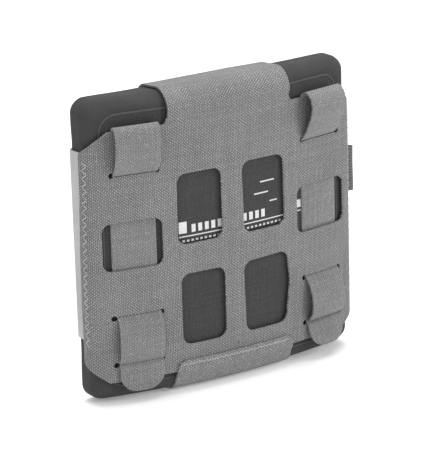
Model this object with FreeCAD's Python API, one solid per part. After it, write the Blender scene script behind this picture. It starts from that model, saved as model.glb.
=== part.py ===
"""Hard protective plate in a laser-cut webbing-grid pouch.

Frame: +X to the right, the front faces -Y, +Z up.  The origin is on the flat underside of the
bottom strap, at the middle of the plate's thickness.  Millimetres throughout.

The plate is a rounded square with a front that curves about a vertical axis.  Everything that is
wrapped round it (panel, flap, gussets, bottom strap) is a layer between two grown copies of that
same form, so each layer is placed by its distance outside the plate's cover.
"""

import FreeCAD, Part
import math
import os

# ---- plate -------------------------------------------------------------------------------
PLATE_WIDTH = 160.2
PLATE_HEIGHT = 161.0
PLATE_DEPTH = 24.0           # at the middle, front crown to flat back
FRONT_RADIUS = 325.0         # the curve of the front, about a vertical axis
CORNER_RADIUS = 6.0          # seen from the front
FRONT_EDGE_RADIUS = 5.0
BACK_EDGE_RADIUS = 2.5
COVER_THICKNESS = 0.8
CORE_THICKNESS = 8.0         # hard strike face
FOAM_AT_MIDDLE = 8.8         # behind the fibre pack, where the curve leaves most room
SEAM_INSET = 8.0             # seam line in from the plate's outline
SEAM_CORNER_RADIUS = 9.0
FILLING_CORNER_RADIUS = 10.0    # core, fibre pack and foam are rounder than the cover
FILLING_EDGE_RADIUS = 9.0
SEAM_WIDTH = 1.2
SEAM_PROUD = 0.12

# ---- pouch fabric ------------------------------------------------------------------------
PANEL_THICKNESS = 1.0
GUSSET_THICKNESS = 1.0
WEBBING_THICKNESS = 1.2
PATCH_THICKNESS = 1.0
HOOK_THICKNESS = 0.6
CLEARANCE = 0.2              # between fabric layers that lie on each other
BUTT_GAP = 0.3               # between edges that meet at a fold line

# ---- webbing grid ------------------------------------------------------------------------
GRID_ROW = 25.4
GRID_COLUMN = 38.1
GRID_FIRST_ROW = 21.9        # height of the lowest slot
STRAP_WIDTH = 24.5
STRAP_THICKNESS = 1.0
SLOT_END_GAP = 1.7           # beyond each edge of the strap
SLOT_HEIGHT = 3.0
GRID_WINDOW_WIDTH = 33.0
GRID_WINDOW_SHIFT = 1.3      # the window's middle stands this far outside the strap's
SLOT_CROSSING = 1.1          # above or below a slot where the strap goes through it
UPPER_RISE = {"left": 6.0, "right": 9.0}    # how far each loop stands off the panel
LOWER_RISE = {"left": 2.1, "right": 6.2}
FOLD_CREST = 1.6             # the strap's fold above the panel's top edge
CREST_SHARE = 0.42           # of the rise, at the top of the fold
SHOULDER_DROP_SHARE = 0.5    # of the rise, from the fold down to the loop's widest place
BELLY_SHARE = 0.72           # of the rise, half way down the upper loop
SWELL_SHARE = 0.42           # of a grid row, the lower loop's widest place above its slot
TAIL_LENGTH = 15.0
TAIL_CORNER_RADIUS = 9.5
TAIL_LIFT_DEG = {"left": 0.0, "right": 14.0}

# ---- panel, flap, strap and tab outlines ---------------------------------------------------
PANEL_BOTTOM = 12.4
PANEL_SHOULDER = 146.7
PANEL_CORNER_RADIUS = 3.0
WING_REACH = 9.9             # the outline's width beyond the plate's side, for the wings
LOWER_CUT_INSET = 6.7        # the bottom edge ends this far inside the plate's side
LOWER_CUT_TOP = 30.0
UPPER_CUT_INSET = 11.1
UPPER_CUT_BOTTOM = 134.3
WING_END_Y = 2.4             # where the panel's side ends, behind the plate's middle
WINDOW_WIDTH = 26.2
WINDOW_HEIGHT = 38.0
CENTRE_STRIP = 12.8
LOWER_WINDOW_BOTTOM = 26.6
UPPER_WINDOW_BOTTOM = 80.8
WINDOW_CORNER_RADIUS = 5.0
FLAP_HALF_WIDTH = 37.0
FLAP_NECK_STEP = 1.5         # the panel is this much wider than the flap at the fold
FLAP_TAIL_LENGTH = 42.0
FLAP_TAIL_CORNER_RADIUS = 8.0
PATCH_HALF_WIDTH = 33.0
LOOP_PATCH_HEIGHT = 33.0
HOOK_PATCH_HEIGHT = 26.0
PATCH_DROP = 2.0             # both patches start below the back panel's top edge
GUSSET_BOTTOM = 34.7
GUSSET_HEIGHT = 4 * GRID_ROW
GUSSET_LAP = 8.0             # how far the gusset reaches round onto the back
GUSSET_UNDER_WING = 3.2
BACK_PANEL_BOTTOM = 24.0
BACK_PANEL_TOP = 138.0
BOTTOM_STRAP_HALF_WIDTH = 36.0
BOTTOM_STRAP_FRONT_TOP = 18.0
BOTTOM_STRAP_BACK_TOP = 45.0
BOTTOM_STRAP_CORNER_RADIUS = 4.0
TAB_WIDTH = 25.0
TAB_REACH = 7.3              # from the tab's hinge line to its folded end
TAB_HALF_THICKNESS = 1.2
TAB_Y = 7.4
TAB_BOTTOM = 84.2
TAB_ANCHOR_LAP = 14.0
TAB_ANCHOR_GAP = 2.0         # behind the end of the panel's side

# ---- stitches ------------------------------------------------------------------------------
STITCH_LENGTH = 2.8
STITCH_PITCH = 4.2
STITCH_WIDTH = 0.6
STITCH_PROUD = 0.4
EDGE_STITCH_INSET = 1.9      # in from the plate's side
EDGE_STITCH_BOTTOM = 32.4
EDGE_STITCH_TOP = 132.7
ROW_STITCH_DROP = 2.3        # below the bottom strap's front edge

# ---- distances outside the plate's cover -----------------------------------------------------
STRAP_SAG = FRONT_RADIUS - math.sqrt(FRONT_RADIUS ** 2 - (STRAP_WIDTH / 2) ** 2)
STRAP_INNER = 0.15
PANEL_INNER = STRAP_INNER + STRAP_THICKNESS + STRAP_SAG + CLEARANCE
PANEL_OUTER = PANEL_INNER + PANEL_THICKNESS
GUSSET_OUTER = CLEARANCE + GUSSET_THICKNESS
STRAP_WRAP_OUTER = CLEARANCE + WEBBING_THICKNESS
FRONT_LAP_INNER = PANEL_OUTER + CLEARANCE / 2
FRONT_LAP_OUTER = FRONT_LAP_INNER + WEBBING_THICKNESS
BACK_LAP_INNER = GUSSET_OUTER + CLEARANCE / 2
BACK_LAP_OUTER = BACK_LAP_INNER + WEBBING_THICKNESS
TAIL_STACK = GUSSET_OUTER + PATCH_THICKNESS + CLEARANCE + HOOK_THICKNESS

# ---- places that follow from the sizes --------------------------------------------------------
HALF_WIDTH = PLATE_WIDTH / 2
HALF_DEPTH = PLATE_DEPTH / 2
CORE_START = COVER_THICKNESS + CLEARANCE
BACKER_START = CORE_START + CORE_THICKNESS
FOAM_START = PLATE_DEPTH - COVER_THICKNESS - CLEARANCE - FOAM_AT_MIDDLE
PLATE_BOTTOM = STRAP_WRAP_OUTER
PLATE_TOP = PLATE_BOTTOM + PLATE_HEIGHT
FLAP_FOLD = GRID_FIRST_ROW + 5 * GRID_ROW
STRAP_CENTRE = 1.5 * GRID_COLUMN
SLOT_LENGTH = STRAP_WIDTH + 2 * SLOT_END_GAP
SLOT_ROWS = (0, 1, 4)
TAIL_HINGE_Z = FLAP_FOLD + 1.0
FACE_ZONE = 3.0              # a face of the cover and its seam lie within this of the surface
REACH = 200.0                # longer than anything it cuts


def vector(x, y, z):
    return FreeCAD.Vector(x, y, z)


def box(x0, x1, y0, y1, z0, z1):
    return Part.makeBox(x1 - x0, y1 - y0, z1 - z0, vector(x0, y0, z0))


def solids_of(shape):
    """The shape's solids, as one solid or one compound."""
    clean = shape.removeSplitter()
    solids = clean.Solids
    if not solids:
        raise ValueError("a piece came out empty")
    if len(solids) == 1:
        return solids[0]
    return Part.makeCompound(solids)


def y_prism(outline, y0, y1, radius=0.0):
    """A prism along Y over an outline of (x, z) points, with its corners rounded."""
    points = [vector(x, y0, z) for x, z in outline]
    face = Part.Face(Part.makePolygon(points + points[:1]))
    prism = face.extrude(vector(0, y1 - y0, 0))
    if radius > 0:
        corners = [edge for edge in prism.Edges if edge.BoundBox.YLength > (y1 - y0) / 2]
        prism = prism.makeFillet(radius, corners)
    return prism


def rounded_rectangle(x0, x1, z0, z1, radius, y0=-REACH, y1=REACH):
    return y_prism([(x0, z0), (x1, z0), (x1, z1), (x0, z1)], y0, y1, radius)


# ---- the plate's form and the layers round it ---------------------------------------------------

def front_cylinder(offset):
    """The cylinder whose front is the plate's front, grown by offset."""
    radius = FRONT_RADIUS + offset
    height = PLATE_HEIGHT + REACH
    return Part.makeCylinder(radius, height, vector(0, FRONT_RADIUS - HALF_DEPTH, -REACH / 2))


def plate_form(offset, back_extra=0.0, corner=CORNER_RADIUS, front_edge=FRONT_EDGE_RADIUS):
    """The plate's outside grown by offset, and by back_extra more at the back."""
    half = HALF_WIDTH + offset
    back = HALF_DEPTH + offset + back_extra
    block = rounded_rectangle(-half, half, PLATE_BOTTOM - offset, PLATE_TOP + offset,
                              corner + offset, -REACH, back)
    form = block.common(front_cylinder(offset))
    side_y = front_y(HALF_WIDTH, 0.0) - offset
    front_edges = [edge for edge in form.Edges if edge.BoundBox.YMax < side_y + 1.0]
    form = form.makeFillet(front_edge + offset, front_edges)
    back_edges = [edge for edge in form.Edges if edge.BoundBox.YMin > back - 0.01]
    return form.makeFillet(BACK_EDGE_RADIUS + offset, back_edges)


def layer(inner, outer, back_extra=0.0):
    """What lies between inner and outer outside the plate's cover."""
    return plate_form(outer, back_extra).cut(plate_form(inner, back_extra))


def front_y(x, offset):
    """Y of the curved front, grown by offset, at this x."""
    radius = FRONT_RADIUS + offset
    return FRONT_RADIUS - HALF_DEPTH - math.sqrt(radius ** 2 - x ** 2)


def seam_prism(shift):
    """Everything inside the seam line drawn in by shift, through the whole depth."""
    inset = SEAM_INSET + shift
    half = HALF_WIDTH - inset
    radius = SEAM_CORNER_RADIUS - shift
    return rounded_rectangle(-half, half, PLATE_BOTTOM + inset, PLATE_TOP - inset, radius)


def front_part(shape):
    """What lies close behind the curved front, or in front of it."""
    return shape.cut(front_cylinder(-FACE_ZONE))


def back_part(shape):
    """What lies close to the flat back."""
    return shape.common(box(-REACH, REACH, HALF_DEPTH - FACE_ZONE, REACH, -REACH, REACH))


# ---- plate ------------------------------------------------------------------------------------

def cover_face():
    """Both faces of the cover, inside the seams."""
    return layer(-COVER_THICKNESS, 0).common(seam_prism(SEAM_WIDTH / 2))


def plate_cover_band():
    return solids_of(layer(-COVER_THICKNESS, 0).cut(seam_prism(-SEAM_WIDTH / 2)))


def plate_seams():
    """The welts that join the cover's faces to its edge band."""
    ring = seam_prism(-SEAM_WIDTH / 2).cut(seam_prism(SEAM_WIDTH / 2))
    return layer(-COVER_THICKNESS, SEAM_PROUD).common(ring)


def plate_filling():
    """What the cover is filled with, before it is divided into layers."""
    inside = -COVER_THICKNESS - CLEARANCE
    return plate_form(inside, 0.0, FILLING_CORNER_RADIUS, FILLING_EDGE_RADIUS)


def plate_core():
    slab = front_cylinder(-CORE_START).cut(front_cylinder(-BACKER_START))
    return solids_of(plate_filling().common(slab))


def plate_backer():
    """The fibre pack, which fills the depth between the core and the foam."""
    slab = front_cylinder(-BACKER_START).cut(front_cylinder(-FOAM_START + CLEARANCE))
    return solids_of(plate_filling().common(slab))


def comfort_foam():
    return solids_of(plate_filling().common(front_cylinder(-FOAM_START)))


# ---- pouch --------------------------------------------------------------------------------------

def panel_outline():
    """The front panel's outline, right half then left half, anticlockwise from the bottom."""
    side = HALF_WIDTH + WING_REACH
    neck = FLAP_HALF_WIDTH + FLAP_NECK_STEP
    right = [(HALF_WIDTH - LOWER_CUT_INSET, PANEL_BOTTOM), (side, LOWER_CUT_TOP),
             (side, UPPER_CUT_BOTTOM), (HALF_WIDTH - UPPER_CUT_INSET, PANEL_SHOULDER),
             (neck, PANEL_SHOULDER), (neck, FLAP_FOLD)]
    left = [(-x, z) for x, z in reversed(right)]
    return right + left


def slot_cut(x, z):
    """A webbing slot with a round relief hole at each end."""
    half = SLOT_LENGTH / 2 - SLOT_HEIGHT / 2
    radius = SLOT_HEIGHT / 2
    cut = box(x - half, x + half, -REACH, 0, z - radius, z + radius)
    for end in (-half, half):
        hole = Part.makeCylinder(radius, REACH, vector(x + end, -REACH, z), vector(0, 1, 0))
        cut = cut.fuse(hole)
    return cut


def grid_window_cut(side):
    centre = side * (STRAP_CENTRE + GRID_WINDOW_SHIFT)
    z0 = GRID_FIRST_ROW + 2 * GRID_ROW
    half = GRID_WINDOW_WIDTH / 2
    return rounded_rectangle(centre - half, centre + half, z0, z0 + GRID_ROW,
                             WINDOW_CORNER_RADIUS, -REACH, 0)


def front_window_cut(side, z0):
    inner = CENTRE_STRIP / 2
    xs = sorted((side * inner, side * (inner + WINDOW_WIDTH)))
    return rounded_rectangle(xs[0], xs[1], z0, z0 + WINDOW_HEIGHT, WINDOW_CORNER_RADIUS, -REACH, 0)


def front_panel():
    sheet = layer(PANEL_INNER, PANEL_OUTER)
    sheet = sheet.common(y_prism(panel_outline(), -REACH, WING_END_Y))
    for side in (-1, 1):
        for row in SLOT_ROWS:
            sheet = sheet.cut(slot_cut(side * STRAP_CENTRE, GRID_FIRST_ROW + row * GRID_ROW))
        sheet = sheet.cut(grid_window_cut(side))
        sheet = sheet.cut(front_window_cut(side, LOWER_WINDOW_BOTTOM))
        sheet = sheet.cut(front_window_cut(side, UPPER_WINDOW_BOTTOM))
    return solids_of(sheet)


def back_panel():
    half = HALF_WIDTH - GUSSET_LAP - BUTT_GAP
    inside = rounded_rectangle(-half, half, BACK_PANEL_BOTTOM, BACK_PANEL_TOP,
                               PANEL_CORNER_RADIUS, 0, REACH)
    return solids_of(layer(CLEARANCE, GUSSET_OUTER).common(inside))


def side_gusset(side):
    """The smooth band that closes the pouch's side, from under the panel round to the back."""
    inner = HALF_WIDTH - GUSSET_LAP
    xs = sorted((side * inner, side * REACH))
    inside = box(xs[0], xs[1], WING_END_Y - GUSSET_UNDER_WING, REACH,
                 GUSSET_BOTTOM, GUSSET_BOTTOM + GUSSET_HEIGHT)
    return solids_of(layer(CLEARANCE, GUSSET_OUTER).common(inside))


def bottom_strap():
    """A webbing strap under the plate, lapped over the panel in front and behind."""
    half = BOTTOM_STRAP_HALF_WIDTH
    front_end = PANEL_BOTTOM - BUTT_GAP
    back_end = BACK_PANEL_BOTTOM - BUTT_GAP
    wrap = layer(CLEARANCE, STRAP_WRAP_OUTER)
    cradle = wrap.common(box(-half, half, -REACH, 0, -REACH, front_end))
    cradle = cradle.fuse(wrap.common(box(-half, half, 0, REACH, -REACH, back_end)))
    front_step = layer(CLEARANCE, FRONT_LAP_OUTER)
    front_step = front_step.common(
        box(-half, half, -REACH, 0, front_end - WEBBING_THICKNESS, front_end))
    front_lap = layer(FRONT_LAP_INNER, FRONT_LAP_OUTER).common(
        lap_prism(half, front_end - WEBBING_THICKNESS, BOTTOM_STRAP_FRONT_TOP, -REACH, 0))
    back_step = layer(CLEARANCE, BACK_LAP_OUTER)
    back_step = back_step.common(
        box(-half, half, 0, REACH, back_end - WEBBING_THICKNESS, back_end))
    back_lap = layer(BACK_LAP_INNER, BACK_LAP_OUTER).common(
        lap_prism(half, back_end - WEBBING_THICKNESS, BOTTOM_STRAP_BACK_TOP, 0, REACH))
    strap = cradle.fuse([front_step, front_lap, back_step, back_lap])
    return solids_of(strap)


def lap_prism(half, z0, z1, y0, y1):
    """A strap end's outline: straight sides, and a top edge with rounded corners."""
    radius = BOTTOM_STRAP_CORNER_RADIUS
    below = z0 - 2 * radius
    rounded = rounded_rectangle(-half, half, below, z1, radius, y0, y1)
    return rounded.common(box(-half, half, y0, y1, z0, z1))


def loop_patch():
    """The loop half of the closure, sewn on the back panel under the flap's tail."""
    y0 = HALF_DEPTH + GUSSET_OUTER
    top = BACK_PANEL_TOP - PATCH_DROP
    return rounded_rectangle(-PATCH_HALF_WIDTH, PATCH_HALF_WIDTH, top - LOOP_PATCH_HEIGHT, top,
                             PANEL_CORNER_RADIUS, y0, y0 + PATCH_THICKNESS)


# ---- flap and its tail -----------------------------------------------------------------------------

def flap_layer():
    extra = TAIL_STACK - PANEL_INNER
    return layer(PANEL_INNER, PANEL_OUTER, extra)


def top_flap():
    half = FLAP_HALF_WIDTH
    front = box(-half, half, -REACH, 0, FLAP_FOLD + BUTT_GAP, REACH)
    back = box(-half, half, 0, REACH, TAIL_HINGE_Z + BUTT_GAP / 2, REACH)
    return solids_of(flap_layer().common(front.fuse(back)))


def flap_tail():
    top = TAIL_HINGE_Z - BUTT_GAP / 2
    half = FLAP_HALF_WIDTH
    radius = FLAP_TAIL_CORNER_RADIUS
    outline = rounded_rectangle(-half, half, top - FLAP_TAIL_LENGTH, top + 2 * radius,
                                radius, 0, REACH)
    outline = outline.common(box(-half, half, 0, REACH, 0, top))
    return solids_of(flap_layer().common(outline))


def hook_patch():
    """The hook half of the closure, sewn inside the flap's tail."""
    y1 = HALF_DEPTH + TAIL_STACK
    top = BACK_PANEL_TOP - PATCH_DROP
    return rounded_rectangle(-PATCH_HALF_WIDTH, PATCH_HALF_WIDTH, top - HOOK_PATCH_HEIGHT, top,
                             PANEL_CORNER_RADIUS, y1 - HOOK_THICKNESS, y1)


# ---- attachment straps -------------------------------------------------------------------------------

def strap_frame(side):
    """Placement of a strap: -Y outward from the panel's face, X across the strap."""
    x = side * STRAP_CENTRE
    turn = math.degrees(math.asin(x / (FRONT_RADIUS + PANEL_OUTER)))
    rotation = FreeCAD.Rotation(vector(0, 0, 1), turn)
    return FreeCAD.Placement(vector(x, front_y(x, PANEL_OUTER), 0), rotation)


def strap_run(name):
    """The strap's middle line from its sewn top edge down, as runs of two or three places.

    A place is (height off the panel, z).  Two places are a straight run, three are an arc.
    """
    half = STRAP_THICKNESS / 2
    behind = STRAP_INNER + half - PANEL_OUTER
    clear = half + CLEARANCE * 2
    slot_3, slot_2, slot_1 = [GRID_FIRST_ROW + row * GRID_ROW for row in SLOT_ROWS]
    upper, lower = UPPER_RISE[name], LOWER_RISE[name]
    top = PANEL_SHOULDER + CLEARANCE + half
    widest = top - SHOULDER_DROP_SHARE * upper

    start = (-PANEL_THICKNESS / 2, top)
    crest = (CREST_SHARE * upper, top + FOLD_CREST)
    front = (upper - half, widest)
    belly = (BELLY_SHARE * upper, (widest + slot_1 + SLOT_CROSSING) / 2)
    into_1 = (clear, slot_1 + SLOT_CROSSING)
    behind_1 = (behind, slot_1 - SLOT_CROSSING)
    behind_2 = (behind, slot_2 + SLOT_CROSSING)
    out_2 = (clear, slot_2 - SLOT_CROSSING)
    swell = (lower - half, slot_3 + SWELL_SHARE * GRID_ROW)
    over_3 = (clear, slot_3 + SLOT_HEIGHT / 2)
    into_3 = (-CLEARANCE, slot_3 + CLEARANCE)
    return [(start, crest, front), (front, belly, into_1), (into_1, behind_1),
            (behind_1, behind_2), (behind_2, out_2), (out_2, swell, over_3), (over_3, into_3)]


def strap_section(places):
    """The strap's section along one run, with round ends."""
    half = STRAP_THICKNESS / 2
    points = [vector(0, -rise, z) for rise, z in places]
    if len(points) == 2:
        along = (points[1] - points[0]).normalize()
        aside = vector(0, -along.z, along.y) * half
        sides = [Part.makeLine(p[0], p[1]) for p in
                 ([q + aside for q in points], [q - aside for q in points])]
    else:
        circle = Part.Arc(*points).toShape().Curve
        sides = []
        for radius in (circle.Radius + half, circle.Radius - half):
            share = radius / circle.Radius
            moved = [circle.Center + (q - circle.Center) * share for q in points]
            sides.append(Part.Arc(*moved).toShape())
    outer, inner = sides
    ends = [Part.makeLine(outer.Vertexes[k].Point, inner.Vertexes[k].Point) for k in (0, 1)]
    band = Part.Face(Part.Wire([outer, ends[1], inner, ends[0]]))
    discs = [Part.Face(Part.Wire(Part.makeCircle(half, points[k], vector(1, 0, 0))))
             for k in (0, -1)]
    return [band] + discs


def attachment_strap(side, name):
    faces = [face for places in strap_run(name) for face in strap_section(places)]
    slabs = [face.extrude(vector(STRAP_WIDTH, 0, 0)) for face in faces]
    strap = slabs[0].fuse(slabs[1:])
    strap.translate(vector(-STRAP_WIDTH / 2, 0, 0))
    strap.Placement = strap_frame(side).multiply(strap.Placement)
    return solids_of(strap)


def strap_tail(side, name):
    """The strap's rounded end, free to lift about the lowest slot."""
    top = GRID_FIRST_ROW - STRAP_THICKNESS / 2
    half = STRAP_WIDTH / 2
    outer = -CLEARANCE * 2 - STRAP_THICKNESS
    radius = TAIL_CORNER_RADIUS
    outline = rounded_rectangle(-half, half, top - TAIL_LENGTH, top + 2 * radius, radius,
                                outer, outer + STRAP_THICKNESS)
    tail = outline.common(box(-half, half, -REACH, REACH, 0, top))
    hinge = vector(0, outer - CLEARANCE, top + CLEARANCE)
    tail.rotate(hinge, vector(-1, 0, 0), TAIL_LIFT_DEG[name])
    tail.Placement = strap_frame(side).multiply(tail.Placement)
    return solids_of(tail)


# ---- side webbing tab ------------------------------------------------------------------------------------

def tab_anchor():
    """The sewn part of the side tab, on the gusset and round onto the back."""
    inside = box(HALF_WIDTH - TAB_ANCHOR_LAP, REACH, WING_END_Y + TAB_ANCHOR_GAP, REACH,
                 TAB_BOTTOM, TAB_BOTTOM + TAB_WIDTH)
    return solids_of(layer(BACK_LAP_INNER, BACK_LAP_OUTER).common(inside))


def side_tab():
    """A folded loop of webbing that stands out from its anchor."""
    radius = TAB_HALF_THICKNESS
    hinge_x = HALF_WIDTH + BACK_LAP_OUTER + BUTT_GAP + radius
    body = box(hinge_x, hinge_x + TAB_REACH - radius, TAB_Y - radius, TAB_Y + radius,
               TAB_BOTTOM, TAB_BOTTOM + TAB_WIDTH)
    for x in (hinge_x, hinge_x + TAB_REACH - radius):
        body = body.fuse(Part.makeCylinder(radius, TAB_WIDTH, vector(x, TAB_Y, TAB_BOTTOM)))
    return solids_of(body)


# ---- stitching -----------------------------------------------------------------------------------------------

def stitches_along(start, end):
    """Middles of the stitches that fit evenly between two places on a line."""
    count = int((end - start) / STITCH_PITCH)
    first = (start + end) / 2 - (count - 1) * STITCH_PITCH / 2
    return [first + STITCH_PITCH * i for i in range(count)]


def upright_stitches(x, z0, z1, y0, y1):
    half_width = STITCH_WIDTH / 2
    half_length = STITCH_LENGTH / 2
    return [box(x - half_width, x + half_width, y0, y1, z - half_length, z + half_length)
            for z in stitches_along(z0, z1)]


def level_stitches(z, x0, x1, y0, y1):
    half_width = STITCH_WIDTH / 2
    half_length = STITCH_LENGTH / 2
    return [box(x - half_length, x + half_length, y0, y1, z - half_width, z + half_width)
            for x in stitches_along(x0, x1)]


def threads_on(surface, blocks):
    """Threads that stand proud of the layer whose outside is at this distance."""
    return solids_of(layer(surface, surface + STITCH_PROUD).common(Part.makeCompound(blocks)))


def edge_stitching(side):
    x = side * (HALF_WIDTH - EDGE_STITCH_INSET)
    blocks = upright_stitches(x, EDGE_STITCH_BOTTOM, EDGE_STITCH_TOP, -REACH, HALF_DEPTH)
    return threads_on(PANEL_OUTER, blocks)


def bottom_stitching():
    half = BOTTOM_STRAP_HALF_WIDTH - BOTTOM_STRAP_CORNER_RADIUS
    z = BOTTOM_STRAP_FRONT_TOP - ROW_STITCH_DROP
    return threads_on(FRONT_LAP_OUTER, level_stitches(z, -half, half, -REACH, 0))


def back_stitching():
    half = BOTTOM_STRAP_HALF_WIDTH - BOTTOM_STRAP_CORNER_RADIUS
    blocks = []
    for z in (BOTTOM_STRAP_BACK_TOP - ROW_STITCH_DROP, BACK_PANEL_BOTTOM + ROW_STITCH_DROP):
        blocks += level_stitches(z, -half, half, 0, REACH)
    return threads_on(BACK_LAP_OUTER, blocks)


def flap_tail_stitching():
    """Two rows across the tail that hold the hook patch."""
    y0 = HALF_DEPTH + TAIL_STACK + PANEL_THICKNESS
    half = PATCH_HALF_WIDTH - ROW_STITCH_DROP
    top = BACK_PANEL_TOP - PATCH_DROP - ROW_STITCH_DROP
    bottom = top - HOOK_PATCH_HEIGHT + 2 * ROW_STITCH_DROP
    blocks = level_stitches(top, -half, half, y0, y0 + STITCH_PROUD)
    blocks += level_stitches(bottom, -half, half, y0, y0 + STITCH_PROUD)
    return Part.makeCompound(blocks)


def tab_bartack():
    """Two rows of thread that hold the tab's anchor to the back."""
    y0 = HALF_DEPTH + BACK_LAP_OUTER
    x = HALF_WIDTH - TAB_ANCHOR_LAP + ROW_STITCH_DROP
    blocks = []
    for shift in (0.0, 2 * STITCH_WIDTH):
        blocks += upright_stitches(x + shift, TAB_BOTTOM, TAB_BOTTOM + TAB_WIDTH,
                                   y0, y0 + STITCH_PROUD)
    return Part.makeCompound(blocks)


def nodes():
    pieces = {
        "plate_core": plate_core(),
        "plate_backer": plate_backer(),
        "comfort_foam": comfort_foam(),
        "plate_cover_front": solids_of(front_part(cover_face())),
        "plate_cover_band": plate_cover_band(),
        "plate_cover_back": solids_of(back_part(cover_face())),
        "plate_seam_front": solids_of(front_part(plate_seams())),
        "plate_seam_back": solids_of(back_part(plate_seams())),
        "front_panel": front_panel(),
        "back_panel": back_panel(),
        "bottom_strap": bottom_strap(),
        "back_loop_patch": loop_patch(),
        "top_flap": top_flap(),
        "flap_tail": flap_tail(),
        "flap_hook_patch": hook_patch(),
        "side_tab_anchor": tab_anchor(),
        "side_webbing_tab": side_tab(),
        "bottom_strap_stitching": bottom_stitching(),
        "back_strap_stitching": back_stitching(),
        "flap_tail_stitching": flap_tail_stitching(),
        "tab_bartack": tab_bartack(),
    }
    for side, name in ((-1, "left"), (1, "right")):
        pieces["side_gusset_" + name] = side_gusset(side)
        pieces["strap_" + name] = attachment_strap(side, name)
        pieces["strap_tail_" + name] = strap_tail(side, name)
        pieces["edge_stitching_" + name] = edge_stitching(side)
    return pieces


def main():
    os.makedirs("parts", exist_ok=True)
    for name, shape in nodes().items():
        shape.exportStep("parts/" + name + ".step")


main()
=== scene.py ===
"""Studio scene of a protective plate in its webbing-grid pouch.

Shapes are worked out in millimetres in the CAD model's own frame (+X right, front towards -Y,
+Z up) and written to Blender in metres.  Fabric is laid on the plate's form: a place on it is
given by how far along the fabric it lies and how far it stands off the plate's cover.
"""

import math

import bmesh
import bpy
import numpy as np
from mathutils import Matrix, Vector, noise
from mathutils.geometry import delaunay_2d_cdt


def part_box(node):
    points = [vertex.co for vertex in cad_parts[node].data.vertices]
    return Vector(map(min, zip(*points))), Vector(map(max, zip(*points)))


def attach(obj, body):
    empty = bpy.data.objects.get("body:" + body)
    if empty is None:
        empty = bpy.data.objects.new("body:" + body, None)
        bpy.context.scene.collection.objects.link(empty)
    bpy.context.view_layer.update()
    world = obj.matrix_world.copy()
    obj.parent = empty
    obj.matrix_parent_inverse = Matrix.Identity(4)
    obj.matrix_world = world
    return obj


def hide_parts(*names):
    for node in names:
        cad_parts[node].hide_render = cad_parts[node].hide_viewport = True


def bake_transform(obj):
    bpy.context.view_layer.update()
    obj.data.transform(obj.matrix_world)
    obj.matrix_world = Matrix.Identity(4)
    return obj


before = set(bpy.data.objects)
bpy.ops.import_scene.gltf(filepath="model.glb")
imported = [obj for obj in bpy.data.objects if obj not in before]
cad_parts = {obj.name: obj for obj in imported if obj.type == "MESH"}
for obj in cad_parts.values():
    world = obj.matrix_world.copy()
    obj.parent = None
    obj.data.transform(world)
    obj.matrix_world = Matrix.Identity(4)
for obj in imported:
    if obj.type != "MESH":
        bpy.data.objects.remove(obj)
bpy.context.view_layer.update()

MM = 0.001

# ---- the plate's form, from the frame ----
band_low, band_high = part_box("plate_cover_band")
panel_low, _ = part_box("front_panel")
_, flap_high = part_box("top_flap")
tail_low, tail_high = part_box("flap_tail")
lap_low, lap_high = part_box("bottom_strap")

HALF_WIDTH = band_high.x / MM
HALF_DEPTH = band_high.y / MM
PLATE_BOTTOM = band_low.z / MM
PLATE_TOP = band_high.z / MM
FRONT_RADIUS = 325.0
FRONT_EDGE = 5.0
BACK_EDGE = 2.5
CORNER = 7.5
ROLLED_EDGE = 8.5            # the front edge's radius along the plate's top and bottom
SEAM_INSET = 8.0
SEAM_CORNER = 9.0

# ---- fabric layers, as distances outside the plate's cover ----
PANEL_THICKNESS = 1.0
STRAP_THICKNESS = 0.95
PANEL_OUTER = -panel_low.y / MM - HALF_DEPTH
PANEL_MID = PANEL_OUTER - PANEL_THICKNESS / 2
STRAP_BEHIND = 0.72
BACK_MID = 0.7
WRAP_MID = 0.8
FRONT_LAP_MID = -lap_low.y / MM - HALF_DEPTH - 0.6
BACK_LAP_MID = lap_high.y / MM - HALF_DEPTH - 0.6
TAIL_MID = tail_high.y / MM - HALF_DEPTH - 0.5

# ---- webbing grid ----
ROW = 25.4
FIRST_ROW = 21.9
STRAP_WIDTH = 24.5
SLOT_HALF_HEIGHT = 0.8
WEBBING_RIB = 1.6            # the side tab's webbing, rib to rib
WEBBING_PICK = 0.5
ELASTIC_RIB = 0.9
THREAD_SINK = 0.05
OUTLINE_POINTS = 240         # around the plate's outline
FILL_UNEVEN = 0.15           # how far uneven padding moves a face
RELIEF_RADIUS = 1.5
FLAP_FOLD = FIRST_ROW + 5 * ROW
SHOULDER = 146.4
FLAP_HALF = flap_high.x / MM


# ---- the form as formulas ----

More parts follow.
